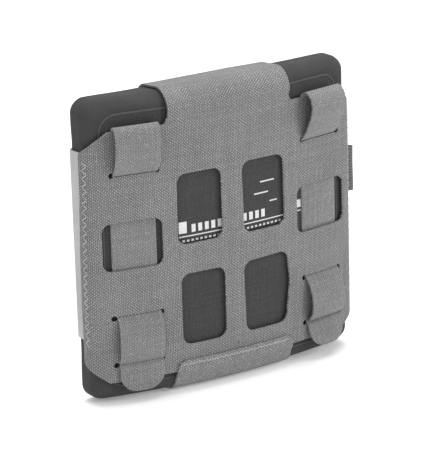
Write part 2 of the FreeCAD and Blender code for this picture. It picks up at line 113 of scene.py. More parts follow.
def ring_point(u, off):
    """Place and outward normal in plan, u along the section from the middle of the front.

    The path runs over the curved front, round its edge, along the side, round the back edge and
    in over the flat back.  u is measured where the panel lies.
    """
    side = 1 if u >= 0 else -1
    u = abs(u)
    centre_y = FRONT_RADIUS - HALF_DEPTH
    corner_x = HALF_WIDTH - FRONT_EDGE
    inner = FRONT_RADIUS - FRONT_EDGE
    turn = math.asin(corner_x / inner)
    corner_y = centre_y - math.sqrt(inner ** 2 - corner_x ** 2)
    arc = (FRONT_RADIUS + PANEL_MID) * turn
    bend = (FRONT_EDGE + PANEL_MID) * (math.pi / 2 - turn)
    straight = HALF_DEPTH - BACK_EDGE - corner_y
    back_bend = (BACK_EDGE + PANEL_MID) * math.pi / 2
    if u <= arc:
        angle = u / (FRONT_RADIUS + PANEL_MID)
        centre = (0.0, centre_y)
        radius = FRONT_RADIUS + off
    elif u <= arc + bend:
        angle = turn + (u - arc) / (FRONT_EDGE + PANEL_MID)
        centre = (corner_x, corner_y)
        radius = FRONT_EDGE + off
    elif u <= arc + bend + straight:
        return (side * (HALF_WIDTH + off), corner_y + u - arc - bend, side, 0.0)
    elif u <= arc + bend + straight + back_bend:
        angle = math.pi / 2 + (u - arc - bend - straight) / (BACK_EDGE + PANEL_MID)
        centre = (HALF_WIDTH - BACK_EDGE, HALF_DEPTH - BACK_EDGE)
        radius = BACK_EDGE + off
    else:
        rest = u - arc - bend - straight - back_bend
        return (side * (HALF_WIDTH - BACK_EDGE - rest), HALF_DEPTH + off, 0.0, 1.0)
    nx, ny = math.sin(angle), -math.cos(angle)
    return (side * (centre[0] + radius * nx), centre[1] + radius * ny, side * nx, ny)


def u_at_y(y):
    """How far along the section the side or its front edge reaches this depth."""
    low, high = 0.0, 120.0
    for _ in range(40):
        mid = (low + high) / 2
        if ring_point(mid, PANEL_MID)[1] < y:
            low = mid
        else:
            high = mid
    return low


def front_y(x, off):
    return FRONT_RADIUS - HALF_DEPTH - math.sqrt((FRONT_RADIUS + off) ** 2 - x * x)


def soft(x, y, z, scale, seed):
    """Smooth random number from -1 to 1, the same on every run."""
    return noise.noise(Vector((x / scale + seed, y / scale, z / scale - seed)))


def ease(x, low, high):
    t = min(max((x - low) / (high - low), 0.0), 1.0)
    return t * t * (3 - 2 * t)


# ---- meshes ----

def add_mesh(name, points, faces, uvs=None, smooth=True):
    """A mesh object from points in millimetres; uvs are millimetres along the fabric."""
    mesh = bpy.data.meshes.new(name)
    mesh.from_pydata([tuple(c * MM for c in p) for p in points], [], [list(f) for f in faces])
    if uvs is not None:
        layer = mesh.uv_layers.new(name="fabric")
        for loop in mesh.loops:
            layer.data[loop.index].uv = uvs[loop.vertex_index]
    mesh.update()
    for polygon in mesh.polygons:
        polygon.use_smooth = smooth
    piece = bpy.data.objects.new(name, mesh)
    bpy.context.scene.collection.objects.link(piece)
    return piece


def apply_modifiers(piece):
    graph = bpy.context.evaluated_depsgraph_get()
    mesh = bpy.data.meshes.new_from_object(piece.evaluated_get(graph))
    piece.modifiers.clear()
    piece.data = mesh


def thicken(piece, thickness, bevel):
    """Gives a sheet its thickness about its middle and softens the cut edges."""
    solid = piece.modifiers.new("thickness", "SOLIDIFY")
    solid.thickness = thickness * MM
    solid.offset = 0.0
    solid.use_even_offset = False
    solid.use_quality_normals = True
    if bevel:
        rim = piece.modifiers.new("rim", "BEVEL")
        rim.width = bevel * MM
        rim.segments = 2
        rim.limit_method = "ANGLE"
        rim.angle_limit = math.radians(50)
    apply_modifiers(piece)
    for polygon in piece.data.polygons:
        polygon.use_smooth = True
    return piece


def finish_sheet(piece, thickness, material, bevel=0.22):
    thicken(piece, thickness, bevel)
    piece.data.materials.clear()
    piece.data.materials.append(material)
    return piece


def polygon_outline(points, spacing):
    """Evenly divided points along a closed polygon's sides."""
    result = []
    count = len(points)
    for i in range(count):
        a, b = np.array(points[i]), np.array(points[(i + 1) % count])
        steps = max(1, int(round(np.linalg.norm(b - a) / spacing)))
        for k in range(steps):
            result.append(tuple(a + (b - a) * k / steps))
    return result


def rounded_outline(corners, radii, spacing=0.8):
    """A polygon with each corner replaced by an arc of its own radius."""
    points = []
    count = len(corners)
    for i in range(count):
        before, here, after = (np.array(corners[(i + k) % count]) for k in (-1, 0, 1))
        radius = radii[i] if hasattr(radii, "__len__") else radii
        d0 = (before - here) / np.linalg.norm(before - here)
        d1 = (after - here) / np.linalg.norm(after - here)
        half = math.acos(np.clip(np.dot(d0, d1), -1, 1)) / 2
        if radius <= 0 or half > math.pi / 2 - 0.02:
            points.append(tuple(here))
            continue
        reach = radius / math.tan(half)
        centre = here + (d0 + d1) / np.linalg.norm(d0 + d1) * radius / math.sin(half)
        start, end = here + d0 * reach - centre, here + d1 * reach - centre
        a0 = math.atan2(start[1], start[0])
        sweep = (math.atan2(end[1], end[0]) - a0 + math.pi) % (2 * math.pi) - math.pi
        steps = max(3, int(abs(sweep) * radius / spacing))
        for k in range(steps + 1):
            a = a0 + sweep * k / steps
            points.append(tuple(centre + radius * np.array((math.cos(a), math.sin(a)))))
    return points


def inside(point, outline):
    """Whether a point lies inside a closed outline."""
    x, y = point
    result = False
    for (x0, y0), (x1, y1) in zip(outline, outline[1:] + outline[:1]):
        if (y0 > y) != (y1 > y) and x < x0 + (y - y0) * (x1 - x0) / (y1 - y0):
            result = not result
    return result


def cut_sheet(outline, holes, spacing):
    """A flat sheet with holes, as points and triangles fine enough to bend."""
    loops = [polygon_outline(outline, spacing)]
    loops += [polygon_outline(hole, spacing) for hole in holes]
    points, edges = [], []
    for loop in loops:
        first = len(points)
        points += loop
        edges += [(first + i, first + (i + 1) % len(loop)) for i in range(len(loop))]
    border = np.array(points)
    us = [p[0] for p in outline]
    vs = [p[1] for p in outline]
    row = 0
    v = min(vs) + spacing / 2
    while v < max(vs):
        u = min(us) + (spacing / 2 if row % 2 else 0.0)
        while u < max(us):
            near = np.min(np.abs(border[:, 0] - u) + np.abs(border[:, 1] - v))
            if near > 0.55 * spacing:
                points.append((u, v))
            u += spacing
        v += spacing * 0.87
        row += 1
    found = delaunay_2d_cdt([Vector(p) for p in points], edges, [], 0, 1e-5)
    flat = [tuple(p) for p in found[0]]
    keep = []
    for face in found[2]:
        middle = tuple(np.mean([flat[i] for i in face], axis=0))
        if inside(middle, loops[0]) and not any(inside(middle, hole) for hole in loops[1:]):
            keep.append(tuple(face))
    used = sorted({i for face in keep for i in face})
    index = {old: new for new, old in enumerate(used)}
    return [flat[i] for i in used], [tuple(index[i] for i in face) for face in keep]


def grid_faces(rows, columns, ring=False):
    """Quads over a grid of points stored row by row; ring joins the last column to the first."""
    faces = []
    for r in range(rows - 1):
        for c in range(columns if ring else columns - 1):
            d = (c + 1) % columns
            faces.append((r * columns + c, r * columns + d,
                          (r + 1) * columns + d, (r + 1) * columns + c))
    return faces


def smooth_path(points, spacing):
    """A smooth curve through given points, evenly divided."""
    p = np.array(points, float)
    p = np.vstack([2 * p[0] - p[1], p, 2 * p[-1] - p[-2]])
    dense = []
    for i in range(1, len(p) - 2):
        knots = [0.0]
        for k in range(3):
            gap = np.linalg.norm(p[i + k] - p[i + k - 1]) ** 0.5
            knots.append(knots[-1] + max(gap, 1e-6))
        t0, t1, t2, t3 = knots
        for t in np.linspace(t1, t2, 24, endpoint=False):
            a1 = (t1 - t) / (t1 - t0) * p[i - 1] + (t - t0) / (t1 - t0) * p[i]
            a2 = (t2 - t) / (t2 - t1) * p[i] + (t - t1) / (t2 - t1) * p[i + 1]
            a3 = (t3 - t) / (t3 - t2) * p[i + 1] + (t - t2) / (t3 - t2) * p[i + 2]
            b1 = (t2 - t) / (t2 - t0) * a1 + (t - t0) / (t2 - t0) * a2
            b2 = (t3 - t) / (t3 - t1) * a2 + (t - t1) / (t3 - t1) * a3
            dense.append((t2 - t) / (t2 - t1) * b1 + (t - t1) / (t2 - t1) * b2)
    dense.append(p[-2])
    dense = np.array(dense)
    along = np.concatenate([[0], np.cumsum(np.linalg.norm(np.diff(dense, axis=0), axis=1))])
    steps = max(2, int(along[-1] / spacing))
    s = np.linspace(0, along[-1], steps + 1)
    return np.column_stack([np.interp(s, along, dense[:, k]) for k in range(p.shape[1])]), s


# ---- materials ----

class Nodes:
    """A short way to write a material's nodes."""

    def __init__(self, name):
        self.material = bpy.data.materials.new(name)
        self.material.use_nodes = True
        self.tree = self.material.node_tree
        self.shader = self.tree.nodes["Principled BSDF"]

    def add(self, kind, inputs=(), **settings):
        node = self.tree.nodes.new("ShaderNode" + kind)
        for key, value in settings.items():
            setattr(node, key, value)
        for key, value in dict(inputs).items():
            if isinstance(value, bpy.types.NodeSocket):
                self.tree.links.new(value, node.inputs[key])
            else:
                node.inputs[key].default_value = value
        return node

    def math(self, operation, a, b=0.0):
        return self.add("Math", {0: a, 1: b}, operation=operation).outputs[0]

    def ramp(self, value, low, high, to_low=0.0, to_high=1.0):
        node = self.add("MapRange", {0: value, 1: low, 2: high, 3: to_low, 4: to_high})
        return node.outputs[0]

    def noise(self, vector, scale, detail=2.0, roughness=0.5):
        node = self.add("TexNoise", {"Vector": vector, "Scale": scale, "Detail": detail,
                                     "Roughness": roughness})
        return node.outputs["Fac"]

    def times(self, a, b):
        return self.math("MULTIPLY", a, b)

    def wave(self, value, period):
        """Rounded ridges of the given period."""
        return self.math("ABSOLUTE", self.math("SINE", self.times(value, math.pi / period)))

    def fabric(self):
        return self.add("UVMap", uv_map="fabric").outputs[0]

    def place(self):
        return self.add("TexCoord").outputs["Object"]

    def tint(self, tone, shade, warmth=0.0):
        colour = self.add("VectorMath", {0: grey(tone, warmth), 3: shade}, operation="SCALE")
        self.link(colour.outputs[0], "Base Color")

    def set(self, **values):
        names = {"rough": "Roughness", "sheen": "Sheen Weight", "sheen_rough": "Sheen Roughness",
                 "specular": "Specular IOR Level", "glow": "Emission Strength"}
        for key, value in values.items():
            self.shader.inputs[names[key]].default_value = value

    def link(self, value, socket):
        self.tree.links.new(value, self.shader.inputs[socket])

    def bump(self, height, distance):
        node = self.add("Bump", {"Height": height, "Distance": distance})
        self.link(node.outputs[0], "Normal")


def grey(value, warmth):
    return (value * (1 + warmth), value, value * (1 - warmth))


def woven(name, tone, pitch=(0.96, 0.76), contrast=0.62, specks=0.22, relief=0.14, sheen=0.05):
    """Plain-woven fabric in yarns of the given pitch, with uneven yarns and paler flecks."""
    n = Nodes(name)
    uv = n.fabric()
    wobble = n.add("TexNoise", {"Vector": uv, "Scale": 0.35, "Detail": 1.0}).outputs["Color"]
    shift = n.add("VectorMath", {0: wobble, 3: 0.9}, operation="SCALE").outputs[0]
    place = n.add("VectorMath", {0: uv, 1: shift}, operation="ADD").outputs[0]
    cells = {"Vector": place, "Scale": (1 / pitch[0], 1 / pitch[1], 1.0)}
    mapping = n.add("Mapping", cells).outputs[0]
    split = n.add("SeparateXYZ", {0: mapping})
    x, y = split.outputs[0], split.outputs[1]
    across_x, across_y = n.wave(x, 1.0), n.wave(y, 1.0)
    cell_x, cell_y = n.math("FLOOR", x), n.math("FLOOR", y)
    over = n.math("PINGPONG", n.math("ADD", cell_x, cell_y), 1.0)
    warp = n.times(across_x, n.ramp(across_y, 0, 1, 0.5, 1.0))
    weft = n.times(across_y, n.ramp(across_x, 0, 1, 0.42, 0.9))
    low = n.times(n.math("SUBTRACT", 1.0, over), weft)
    height = n.math("ADD", n.times(over, warp), low)
    cell = n.add("CombineXYZ", {0: cell_x, 1: cell_y}).outputs[0]
    fleck = n.add("TexWhiteNoise", {"Vector": cell}, noise_dimensions="2D").outputs["Value"]
    fleck = n.ramp(fleck, 0.55, 1.0)
    yarn_x = n.add("TexWhiteNoise", {"W": cell_x}, noise_dimensions="1D").outputs["Value"]
    yarn_y = n.add("TexWhiteNoise", {"W": cell_y}, noise_dimensions="1D").outputs["Value"]
    yarns = n.math("ADD", yarn_x, yarn_y)
    fibres = n.noise(uv, 9.0, 3.0)
    broad = n.noise(uv, 0.035, 3.0)
    # painted shade and highlight: the weave's low places are darkened and its crowns lightened in
    # the colour, besides the bump
    shade = n.ramp(height, 0.15, 0.95, 1 - contrast, 1 + contrast * 0.45)
    shade = n.times(shade, n.ramp(over, 0, 1, 1 - contrast * 0.4, 1 + contrast * 0.4))
    shade = n.times(shade, n.ramp(yarns, 0, 2, 0.9, 1.1))
    shade = n.times(shade, n.ramp(fleck, 0, 1, 1.0, 1 + specks))
    shade = n.times(shade, n.ramp(fibres, 0.3, 0.7, 0.9, 1.1))
    shade = n.times(shade, n.ramp(broad, 0.3, 0.7, 0.93, 1.07))
    n.tint(tone, shade)
    n.link(n.ramp(height, 0, 1, 0.95, 0.77), "Roughness")
    n.bump(n.math("ADD", height, n.times(fibres, 0.25)), relief * MM)
    n.set(sheen=sheen, sheen_rough=0.5, specular=0.25)
    return n.material


def napped(name, tone, fuzz, sheen, relief=0.1, ribs=0.0):
    """Short soft nap, or with ribs a finely ribbed elastic."""
    n = Nodes(name)
    uv = n.fabric()
    fine = n.noise(uv, 4.0, 4.0, 0.7)
    broad = n.noise(uv, 0.06, 3.0)
    scuff = n.noise(uv, 0.35, 2.0)
    shade = n.times(n.ramp(fine, 0.3, 0.7, 1 - fuzz, 1 + fuzz),
                   n.ramp(broad, 0.3, 0.7, 0.92, 1.08))
    shade = n.times(shade, n.ramp(scuff, 0.35, 0.75, 0.97, 1.06))
    height = fine
    if ribs:
        across = n.add("SeparateXYZ", {0: uv}).outputs[0]
        rib = n.wave(across, ELASTIC_RIB)
        # painted shade: the troughs between the ribs are darkened in the colour, besides the bump
        shade = n.times(shade, n.ramp(rib, 0, 1, 1 - ribs, 1.0))
        height = n.math("ADD", n.times(fine, 0.4), rib)
    n.tint(tone, shade)
    n.link(n.ramp(fine, 0.3, 0.7, 0.95, 0.8), "Roughness")
    n.bump(height, relief * MM)
    n.set(sheen=sheen, sheen_rough=0.45, specular=0.2)
    return n.material


def ribbed_webbing(name, tone):
    """Narrow woven webbing: ribs along it, and fine picks across each rib."""
    n = Nodes(name)
    uv = n.fabric()
    split = n.add("SeparateXYZ", {0: uv})
    rib = n.wave(split.outputs[1], WEBBING_RIB)
    pick = n.wave(split.outputs[0], WEBBING_PICK)
    height = n.math("ADD", rib, n.times(pick, 0.35))
    fibres = n.noise(uv, 6.0, 3.0)
    # painted shade and highlight: the grooves between ribs and picks are darkened and their crowns
    # lightened in the colour, besides the bump
    shade = n.times(n.ramp(height, 0.1, 1.3, 0.45, 1.35),
                   n.ramp(fibres, 0.3, 0.7, 0.85, 1.15))
    n.tint(tone, shade)
    n.link(n.ramp(height, 0, 1.3, 0.9, 0.7), "Roughness")
    n.bump(height, 0.25 * MM)
    n.set(sheen=0.3, sheen_rough=0.4, specular=0.3)
    return n.material


def pile(name, tone, cell, relief):
    """Hook or loop tape: a dense field of small raised tufts."""
    n = Nodes(name)
    uv = n.fabric()
    tufts = n.add("TexVoronoi", {"Vector": uv, "Scale": 1 / cell, "Randomness": 0.8})
    height = n.ramp(tufts.outputs["Distance"], 0.0, 0.6, 1.0, 0.0)
    hairs = n.noise(uv, 5.0, 4.0, 0.7)
    # painted shade and highlight: the low places between the tufts are darkened and the tuft tops
    # lightened in the colour, besides the bump
    shade = n.times(n.ramp(height, 0, 1, 0.55, 1.25),
                   n.ramp(hairs, 0.3, 0.7, 0.8, 1.2))
    n.tint(tone, shade)
    n.link(n.ramp(hairs, 0.3, 0.7, 0.95, 0.8), "Roughness")
    n.bump(n.math("ADD", height, hairs), relief * MM)
    n.set(sheen=0.5, sheen_rough=0.5, specular=0.15)
    return n.material


def twisted_thread(name, tone):
    """Twisted sewing thread, with its strands running slantwise along each stitch."""
    n = Nodes(name)
    place = n.place()
    turned = n.add("Mapping", {"Vector": place, "Rotation": (0.6, 0.4, 0.7)}).outputs[0]
    strands = n.add("TexWave", {"Vector": turned, "Scale": 1400.0, "Distortion": 0.6})
    fuzz = n.noise(place, 4000.0, 2.0)
    # painted shade: the grooves between the twisted strands are darkened in the colour, besides
    # the bump
    shade = n.times(n.ramp(strands.outputs["Fac"], 0, 1, 0.7, 1.15),
                   n.ramp(fuzz, 0.3, 0.7, 0.9, 1.1))
    n.tint(tone, shade)
    n.link(n.ramp(strands.outputs["Fac"], 0, 1, 0.8, 0.55), "Roughness")
    n.bump(strands.outputs["Fac"], 0.05 * MM)
    n.set(sheen=0.2, specular=0.35)
    return n.material


def screen_print(name, tone):
    """White ink that lets the weave show through a little."""
    n = Nodes(name)
    place = n.place()
    worn = n.noise(place, 1500.0, 3.0)
    patch = n.noise(place, 120.0, 2.0)
    shade = n.times(n.ramp(worn, 0.3, 0.7, 0.88, 1.03),
                   n.ramp(patch, 0.3, 0.7, 0.95, 1.02))
    n.tint(tone, shade)
    n.link(n.ramp(worn, 0.3, 0.7, 0.75, 0.5), "Roughness")
    n.bump(worn, 0.04 * MM)
    n.set(specular=0.3)
    return n.material


def studio_paper(name, tone):
    n = Nodes(name)
    place = n.place()
    grain = n.noise(place, 90.0, 2.0)
    shade = n.ramp(grain, 0.3, 0.7, 0.995, 1.005)
    n.tint(tone, shade)
    n.set(rough=0.95, specular=0.1, glow=0.22)
    return n.material


panel_cloth = woven("panel_laminate", 0.24)
strap_cloth = woven("strap_laminate", 0.235, pitch=(0.9, 0.74), contrast=0.45, specks=0.25)
lap_cloth = woven("lap_laminate", 0.25, contrast=0.55, specks=0.35)
face_cloth = woven("cover_face", 0.055, pitch=(0.8, 0.8), contrast=0.4, specks=0.2,
                   relief=0.08, sheen=0.05)
band_cloth = napped("cover_band", 0.052, fuzz=0.2, relief=0.16, sheen=0.02)
welt_cloth = napped("cover_welt", 0.08, fuzz=0.2, sheen=0.1)
gusset_cloth = napped("gusset_elastic", 0.46, fuzz=0.05, relief=0.05, sheen=0.05, ribs=0.07)
tab_cloth = ribbed_webbing("tab_webbing", 0.12)
loop_cloth = pile("loop_tape", 0.08, 0.8, 0.4)
hook_cloth = pile("hook_tape", 0.07, 1.1, 0.5)
thread = twisted_thread("thread", 0.55)
dark_thread = twisted_thread("dark_thread", 0.03)
ink = screen_print("plate_ink", 0.72)


# ---- plate cover ----

def outline_ring(inset, count):
    """Evenly spread points of the plate's outline drawn in by inset, as (x, z, upward share)."""
    half_x = HALF_WIDTH - inset
    half_z = (PLATE_TOP - PLATE_BOTTOM) / 2 - inset
    share = ease(inset, 1.0, SEAM_INSET)
    radius = max(CORNER + (SEAM_CORNER - CORNER) * share - 0.6 * max(inset - SEAM_INSET, 0.0), 1.0)
    radius = min(radius, half_x, half_z)
    middle_z = (PLATE_TOP + PLATE_BOTTOM) / 2
    points = []
    sides = ((1, -1), (1, 1), (-1, 1), (-1, -1))
    per_arc, per_side = 12, count // 4 - 12
    for k, (sx, sz) in enumerate(sides):
        centre = np.array((sx * (half_x - radius), middle_z + sz * (half_z - radius)))
        start = -math.pi / 2 + k * math.pi / 2
        for i in range(per_arc):
            a = start + i / per_arc * math.pi / 2
            normal = np.array((math.cos(a), math.sin(a)))
            points.append((*(centre + radius * normal), normal[1] ** 2))
        nx, nz = sides[(k + 1) % 4]
        after = np.array((nx * (half_x - radius), middle_z + nz * (half_z - radius)))
        a = start + math.pi / 2
        normal = np.array((math.cos(a), math.sin(a)))
        for i in range(per_side):
            place = centre + (after - centre) * i / per_side + radius * normal
            points.append((*place, normal[1] ** 2))
    return points


def cover_section():
    """Rings of the cover from the middle of the front to the middle of the back.

    Each is (inset, share of the way across the edge band, share round the back edge, length).
    """
    rings = []
    for inset in np.linspace(HALF_WIDTH - 1.0, ROLLED_EDGE + 0.5, 24):
        rings.append((inset, 0.0, 0.0, HALF_WIDTH - inset))
    for a in np.linspace(0, math.pi / 2, 16):
        inset = ROLLED_EDGE * (1 - math.sin(a))
        rings.append((inset, 0.0, 0.0, HALF_WIDTH - ROLLED_EDGE * (1 - a)))
    length = HALF_WIDTH + ROLLED_EDGE * (math.pi / 2 - 1)
    for t in np.linspace(0, 1, 8)[1:]:
        rings.append((0.0, t, 0.0, length + 10.0 * t))
    length += 10.0
    for a in np.linspace(0, math.pi / 2, 8)[1:]:
        rings.append((BACK_EDGE * (1 - math.cos(a)), 1.0, math.sin(a), length + BACK_EDGE * a))
    length += BACK_EDGE * math.pi / 2
    for inset in np.linspace(BACK_EDGE, HALF_WIDTH - 1.0, 30)[1:]:
        rings.append((inset, 1.0, 1.0, length + inset - BACK_EDGE))
    return rings


def fullness(x, y, z):
    """Uneven filling of the padding, from -1 to 1."""
    return 0.7 * soft(x, y, z, 40.0, 3.1) + 0.3 * soft(x, y, z, 12.0, 7.7)


def pillow(inset):
    """Height of the padding: pinched in at the seam and gently crowned on either side."""
    crown = 0.25 * ease(abs(inset - SEAM_INSET), 0.0, 5.0)
    return crown - 0.35 * math.exp(-((inset - SEAM_INSET) / 1.4) ** 2)


def bare_corner(x, z):
    """How far a place is outside the pouch's grip, at the plate's corners."""
    outside = max(ease(z, 136.0, 150.0), 1 - ease(z, 16.0, 33.0))
    return outside * ease(abs(x), 44.0, 66.0)


def plate_cover():
    """The padded plate's cover: woven faces, a napped band round the edge, softened all over."""
    count = OUTLINE_POINTS
    back_level = HALF_DEPTH - BACK_EDGE
    rings = cover_section()
    points, uvs = [], []
    for inset, across, behind, length in rings:
        for i, (x, z, upward) in enumerate(outline_ring(inset, count)):
            front = front_y(min(abs(x), HALF_WIDTH - 0.5), 0.0)
            edge = FRONT_EDGE + (ROLLED_EDGE - FRONT_EDGE) * upward
            roll = edge - math.sqrt(max(edge ** 2 - max(edge - inset, 0.0) ** 2, 0.0))
            y = front + roll + (back_level - front - roll) * across + BACK_EDGE * behind
            full = fullness(x, y, z)
            rim = math.exp(-(inset / 3.0) ** 2)
            if across == 0:
                y -= (pillow(inset) + FILL_UNEVEN * full) * (1 - rim)
            elif behind > 0:
                y += (pillow(inset) + FILL_UNEVEN * full) * (1 - rim)
            puff = rim * (0.25 * full + 0.45 * bare_corner(x, z) * (1 - upward))
            settle = 0.85 * ease(y, -4.0, 9.0) * ease(z, PLATE_TOP - 10, PLATE_TOP - 1)
            settle *= 1 - 0.7 * ease(abs(x), 44.0, 76.0)
            points.append((x + math.copysign(puff, x), y, z - settle))
            uvs.append((x, z) if inset > SEAM_INSET else (length, i * 2.7))
    faces = grid_faces(len(rings), count, ring=True)
    faces.append(tuple(range(count))[::-1])
    faces.append(tuple((len(rings) - 1) * count + i for i in range(count)))
    cover = add_mesh("plate_cover", points, faces, uvs)
    cover.data.materials.append(face_cloth)
    cover.data.materials.append(band_cloth)
    for polygon in cover.data.polygons:
        ring = min(polygon.index // count, len(rings) - 2)
        inset = (rings[ring][0] + rings[ring + 1][0]) / 2
        polygon.material_index = 0 if inset > SEAM_INSET else 1
    bm = bmesh.new()
    bm.from_mesh(cover.data)
    bmesh.ops.recalc_face_normals(bm, faces=bm.faces)
    bm.to_mesh(cover.data)
    bm.free()
    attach(cover, "pouch")
    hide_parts("plate_cover_front", "plate_cover_band", "plate_cover_back")


def tube(name, path, radius, material, squash, closed=False, sides=8, normals=None):
    """A round strip along a path; squash flattens it along the given normals."""
    path = np.array(path)
    count = len(path)
    points, uvs = [], []
    length = 0.0
    for i in range(count):
        before = path[i - 1] if (closed or i) else path[i]
        after = path[(i + 1) % count] if (closed or i < count - 1) else path[i]
        tangent = (after - before) / np.linalg.norm(after - before)
        normal = np.array(normals[i]) if normals is not None else np.array((0.0, -1.0, 0.0))
        normal = normal - tangent * np.dot(normal, tangent)
        normal /= np.linalg.norm(normal)
        side = np.cross(tangent, normal)
        taper = 1.0
        if not closed:
            taper = max(0.25, min(1.0, min(i, count - 1 - i) / 1.5 + 0.25))
        for k in range(sides):
            a = 2 * math.pi * k / sides
            p = path[i] + taper * radius * (math.cos(a) * side + math.sin(a) * squash * normal)
            points.append(tuple(p))
            uvs.append((length, k * 2 * math.pi * radius / sides))
        if i < count - 1:
            length += np.linalg.norm(path[i + 1] - path[i])
    faces = grid_faces(count, sides, ring=True)
    if closed:
        last = (count - 1) * sides
        faces += [(last + k, last + (k + 1) % sides, (k + 1) % sides, k) for k in range(sides)]
    else:
        faces.append(tuple(range(sides))[::-1])
        faces.append(tuple((count - 1) * sides + k for k in range(sides)))
    piece = add_mesh(name, points, faces, uvs)
    piece.data.materials.append(material)
    return piece


def join(name, pieces):
    """Several meshes as one piece."""
    bm = bmesh.new()
    materials = []
    for piece in pieces:
        material = piece.data.materials[0]
        if material not in materials:
            materials.append(material)
        first = len(bm.faces)
        bm.from_mesh(piece.data)
        bm.faces.ensure_lookup_table()
        for face in bm.faces[first:]:
            face.material_index = materials.index(material)
    mesh = bpy.data.meshes.new(name)
    bm.to_mesh(mesh)
    bm.free()
    for piece in pieces:
        bpy.data.objects.remove(piece)
    for material in materials:
        mesh.materials.append(material)
    for polygon in mesh.polygons:
        polygon.use_smooth = True
    joined = bpy.data.objects.new(name, mesh)
    bpy.context.scene.collection.objects.link(joined)
    return joined


def plate_welt(name, node, front):
    """The raised seam that joins a face of the cover to its edge band."""
    path = []
    for x, z, _ in outline_ring(SEAM_INSET, OUTLINE_POINTS):
        y = front_y(x, 0.0) + 0.3 if front else HALF_DEPTH - 0.3
        path.append((x, y, z))
    welt = tube(name, path, 0.6, welt_cloth, 0.8, closed=True)
    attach(welt, "pouch")
    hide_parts(node)


# ---- pouch panel and flap ----

# windows as cut: (u, z) corners, each a little out of square
UPPER_LEFT_WINDOW = [(-33.4, 81.0), (-6.8, 81.2), (-7.0, 119.2), (-33.0, 119.0)]
UPPER_RIGHT_WINDOW = [(6.2, 80.6), (32.9, 80.4), (32.6, 119.2), (5.6, 119.4)]
LOWER_LEFT_WINDOW = [(-32.0, 26.4), (-6.0, 26.4), (-6.0, 65.2), (-32.2, 65.2)]
LOWER_RIGHT_WINDOW = [(6.2, 26.0), (32.4, 26.2), (35.4, 48.0), (34.0, 65.6), (5.4, 65.0)]
GRID_WINDOW = {"left": (-74.8, -41.8), "right": (41.4, 75.6)}
SLOTS = {"left": {0: (-57.0, 14.1), 1: (-56.9, 14.6), 4: (-56.1, 14.0)},
         "right": {0: (58.2, 14.2), 1: (58.2, 14.2), 4: (58.4, 14.2)}}
# where the middle of each strap runs, at its lower slots, its middle and its upper slot
STRAP_AXIS = {"left": (-55.8, -57.0, -55.2), "right": (58.5, 58.2, 57.8)}


def wing_end(z):
    """Depth at which the panel's side stops, further back low down."""
    return 2.6 - 2.0 * ease(z, 60.0, 140.0)


FLAP_EDGE = 11.0             # how round the flap turns over the plate's top
FLAP_BACK_END = 156.5        # height on the back where the flap meets its tail


def flap_place(u, v):
    """Place on the flap, v up the front, over the top and down the back."""
    x, y = ring_point(u, PANEL_MID)[:2]
    top = PLATE_TOP + 1.0
    turn_z = top - FLAP_EDGE
    back = HALF_DEPTH + TAIL_MID
    back_edge = 5.5
    arc = FLAP_EDGE * math.pi / 2
    flat = back - back_edge - (y + FLAP_EDGE)
    over = back_edge * math.pi / 2
    if v <= turn_z:
        return x, y, v
    v -= turn_z
    if v <= arc:
        a = v / FLAP_EDGE
        return x, y + FLAP_EDGE * (1 - math.cos(a)), turn_z + FLAP_EDGE * math.sin(a)
    v -= arc
    if v <= flat:
        return x, y + FLAP_EDGE + v, top
    v -= flat
    if v <= over:
        a = v / back_edge
        return (x, back - back_edge + back_edge * math.sin(a),
                top - back_edge + back_edge * math.cos(a))
    return x, back, top - back_edge - (v - over)


def flap_length(end_z):
    """How far along the flap a height on its back is, at the middle."""
    low, high = PLATE_TOP + 15.0, PLATE_TOP + 140.0
    for _ in range(40):
        mid = (low + high) / 2
        if flap_place(0.0, mid)[2] > end_z:
            low = mid
        else:
            high = mid
    return low


def panel_place(u, v):
    """Place of the panel and flap fabric, with the small waves of a tensioned laminate."""
    if v > FLAP_FOLD - 1.0:
        x, y, z = flap_place(u, v)
        z -= 0.9 * ease(y, -4.0, 11.0) * ease(z, FLAP_BACK_END, PLATE_TOP)
        lift = ease(v, FLAP_FOLD - 1, FLAP_FOLD + 6) * (1 - ease(v, PLATE_TOP + 6, PLATE_TOP + 16))
        edge = abs(u) / FLAP_HALF
        y -= lift * (0.35 + 1.2 * ease(u, 10, 39) + 0.5 * edge ** 4)
        z += 0.35 * soft(u, v, 0.0, 30.0, 5.5) * ease(v, FLAP_FOLD, FLAP_FOLD + 12)
        z += 0.25 * lift * edge ** 6
        return x, y, z
    off = PANEL_MID
    wave = 0.28 * soft(u, v, 0.0, 38.0, 1.7) + 0.1 * soft(u, v, 0.0, 13.0, 9.2)
    calm = 1 - ease(abs(u), 60.0, 76.0)
    off += wave * calm * (1 - ease(v, FLAP_FOLD - 12, FLAP_FOLD - 1))
    x, y = ring_point(u, off)[:2]
    return x, y, v


def slot_outline(u, z, half_length):
    """A cut with a round relief hole at each end."""
    points = []
    neck = math.asin(SLOT_HALF_HEIGHT / RELIEF_RADIUS)
    for side in (1, -1):
        radius = RELIEF_RADIUS
        centre = u + side * (half_length - radius)
        start = math.pi - neck
        for k in range(13):
            a = -start + 2 * start * k / 12
            points.append((centre + side * radius * math.cos(a), z + side * radius * math.sin(a)))
    return points


def rectangle(u0, u1, z0, z1):
    return [(u0, z0), (u1, z0), (u1, z1), (u0, z1)]


